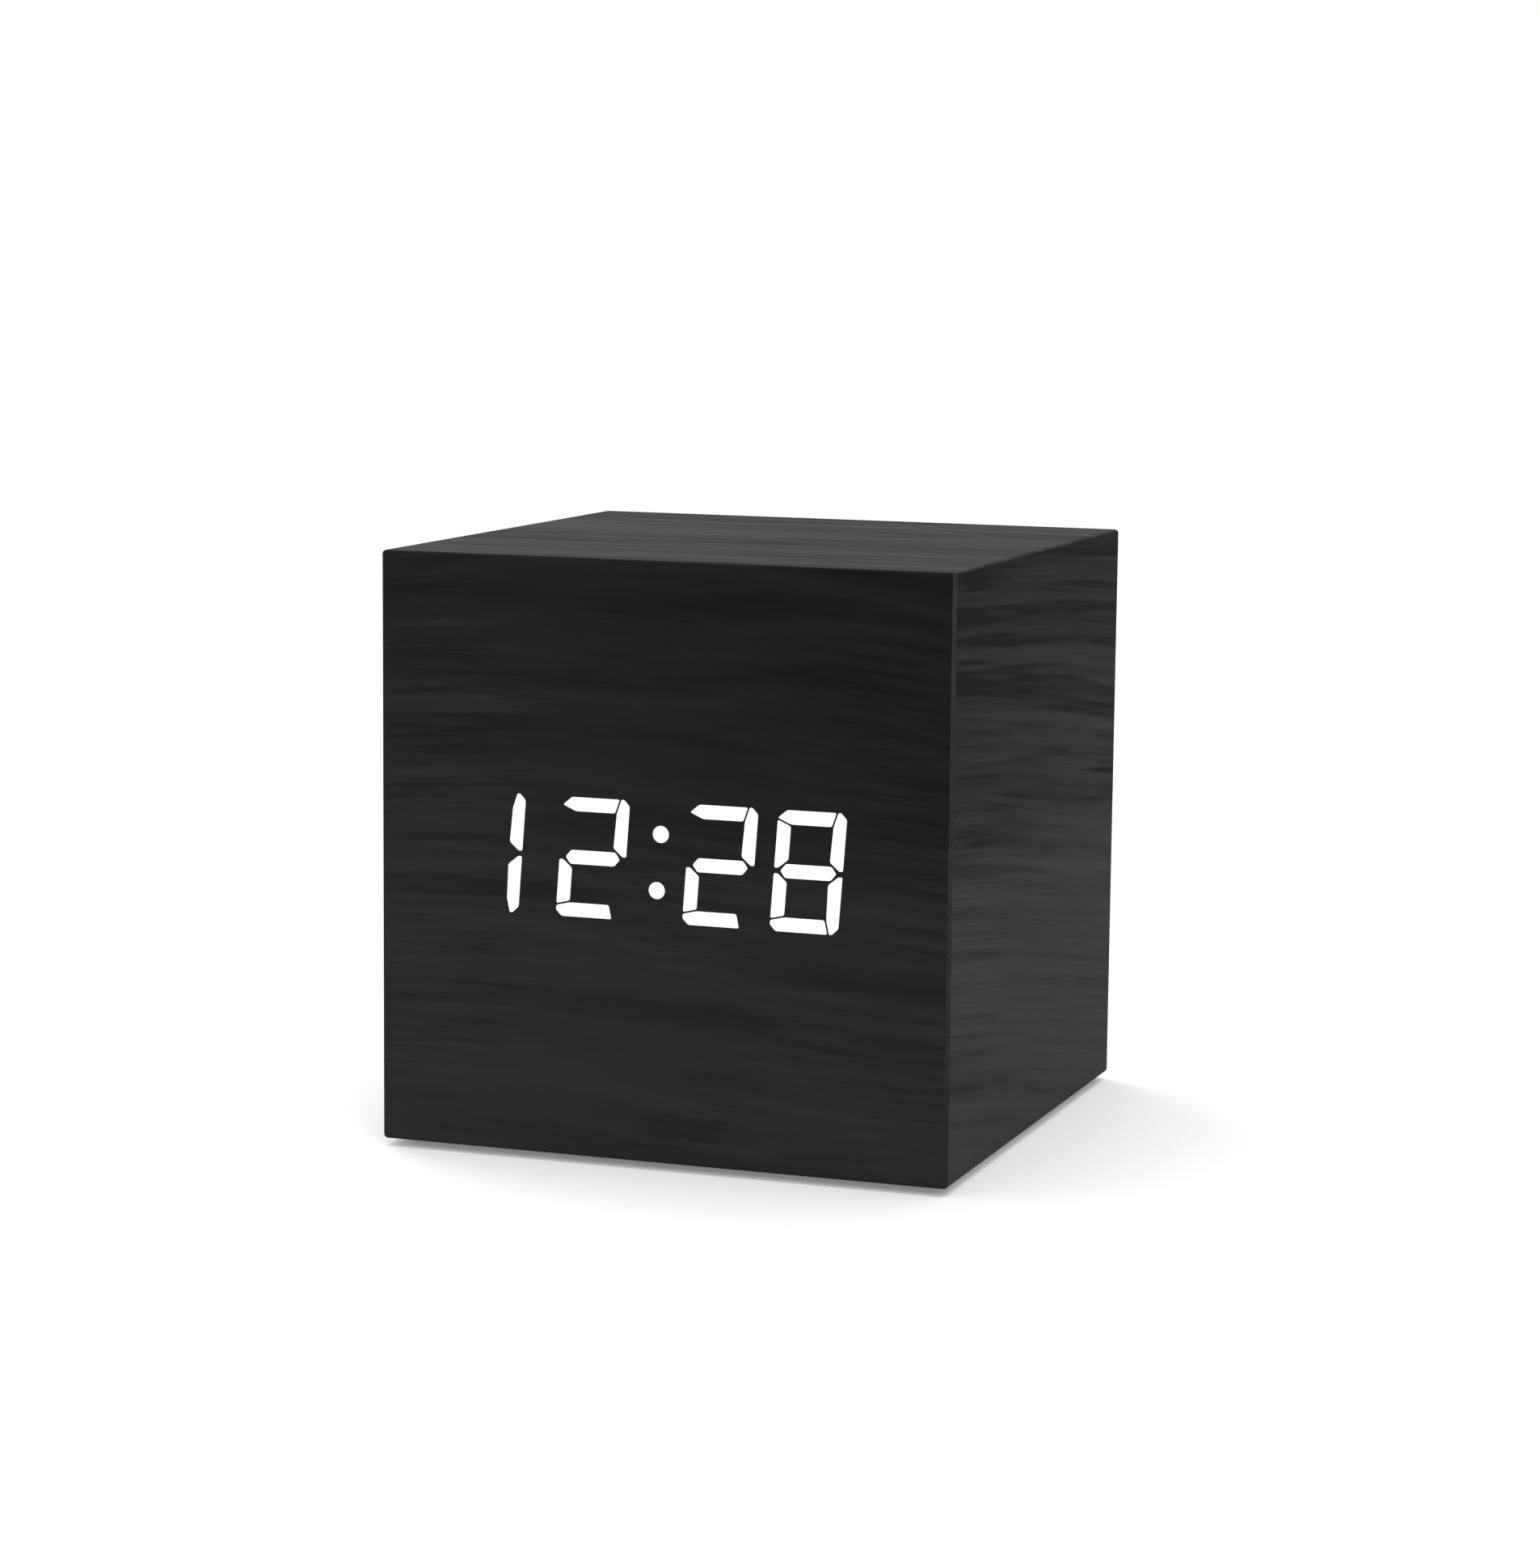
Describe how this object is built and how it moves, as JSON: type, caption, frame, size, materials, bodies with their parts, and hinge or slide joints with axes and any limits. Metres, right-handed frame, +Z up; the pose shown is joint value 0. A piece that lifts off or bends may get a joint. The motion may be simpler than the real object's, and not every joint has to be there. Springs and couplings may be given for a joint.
{
  "type": "wooden digital alarm clock",
  "caption": "Black wood-grain cube clock whose white seven-segment time shines through the front; rear panel with set buttons, power socket and a hinged battery door.",
  "frame": {"origin": "middle of the footprint, on the plane of the foot pads' undersides", "axes": "+Z up, the lit figures face -Y, +X to the right of someone who reads the time"},
  "size_m": [0.062, 0.062, 0.0628],
  "materials": {
    "wood_film": "black wood-grain film with a satin sheen",
    "fibreboard": "raw fibreboard, black on its rear edges",
    "softwood": "sawn softwood",
    "foot_pad": "soft black foam pad",
    "lit_window": "clear film lit white from behind",
    "diffuser": "milky sheet",
    "housing": "white moulded plastic",
    "lens": "milky cast resin",
    "led_chip": "yellow phosphor on a white body",
    "circuit_board": "green lacquered board",
    "spacer": "natural nylon",
    "zinc_screw": "zinc-plated steel",
    "black_screw": "black oxide steel",
    "chip_package": "black moulded epoxy with tinned pins",
    "metal_can": "drawn steel can",
    "capacitor_sleeve": "dark blue printed sleeve",
    "connector": "cream nylon",
    "ribbon": "grey flat cable",
    "back_plastic": "black moulded plastic with a fine spark texture",
    "button_plastic": "black moulded plastic, smoother than the panel",
    "socket_steel": "nickel-plated steel sheet",
    "contact_steel": "nickel-plated spring steel",
    "cell_jacket": "plain printed sleeve over a steel can",
    "red_sleeve": "red wire insulation",
    "black_sleeve": "black wire insulation"
  },
  "bodies": {
    "case": {"front_film": "wood_film", "wrap_film": "wood_film", "front_board": "fibreboard", "top_board": "fibreboard", "bottom_board": "fibreboard", "left_board": "fibreboard", "right_board": "fibreboard", "corner_blocks": "softwood", "feet": "foot_pad", "lit_segments": "lit_window", "diffuser_sheet": "diffuser", "reflector_housing": "housing", "segment_lenses": "lens", "segment_leds": "led_chip", "main_pcb": "circuit_board", "pcb_spacers": "spacer", "pcb_screws": "zinc_screw", "microcontroller": "chip_package", "led_driver": "chip_package", "chip_resistors": "chip_package", "crystal": "metal_can", "buzzer": "chip_package", "capacitors": "capacitor_sleeve", "coin_cell_holder": "chip_package", "coin_cell": "metal_can", "coin_cell_clip": "contact_steel", "cable_plugs": "connector", "ribbon_cable": "ribbon", "back_panel": "back_plastic", "back_screws": "black_screw", "key_pcb": "circuit_board", "key_pcb_screws": "zinc_screw", "switch_bases": "chip_package", "switch_covers": "contact_steel", "usb_shell": "socket_steel", "usb_insert": "chip_package", "battery_tray": "back_plastic", "battery_cells": "cell_jacket", "contact_plates": "contact_steel", "battery_springs": "contact_steel", "red_wire": "red_sleeve", "black_wire": "black_sleeve"},
    "set_key": {"set_button": "button_plastic", "set_plunger": "button_plastic"},
    "up_key": {"up_button": "button_plastic", "up_plunger": "button_plastic"},
    "down_key": {"down_button": "button_plastic", "down_plunger": "button_plastic"},
    "door": {"battery_door": "back_plastic", "door_latch": "back_plastic"}
  },
  "joints": [
    {"name": "set_press", "type": "slide", "parent": "case", "child": "set_key", "axis": [0, -1, 0], "range_m": [0, 0.0003], "stiffness_N_per_m": 1000, "springref_m": -0.0003},
    {"name": "up_press", "type": "slide", "parent": "case", "child": "up_key", "axis": [0, -1, 0], "range_m": [0, 0.0003], "stiffness_N_per_m": 1000, "springref_m": -0.0003},
    {"name": "down_press", "type": "slide", "parent": "case", "child": "down_key", "axis": [0, -1, 0], "range_m": [0, 0.0003], "stiffness_N_per_m": 1000, "springref_m": -0.0003},
    {"name": "door_swing", "type": "hinge", "parent": "case", "child": "door", "pos_m": [0, 0.02865, 0.0462], "axis": [1, 0, 0], "range_deg": [0, 95], "deforming": ["door_latch"]}
  ]
}
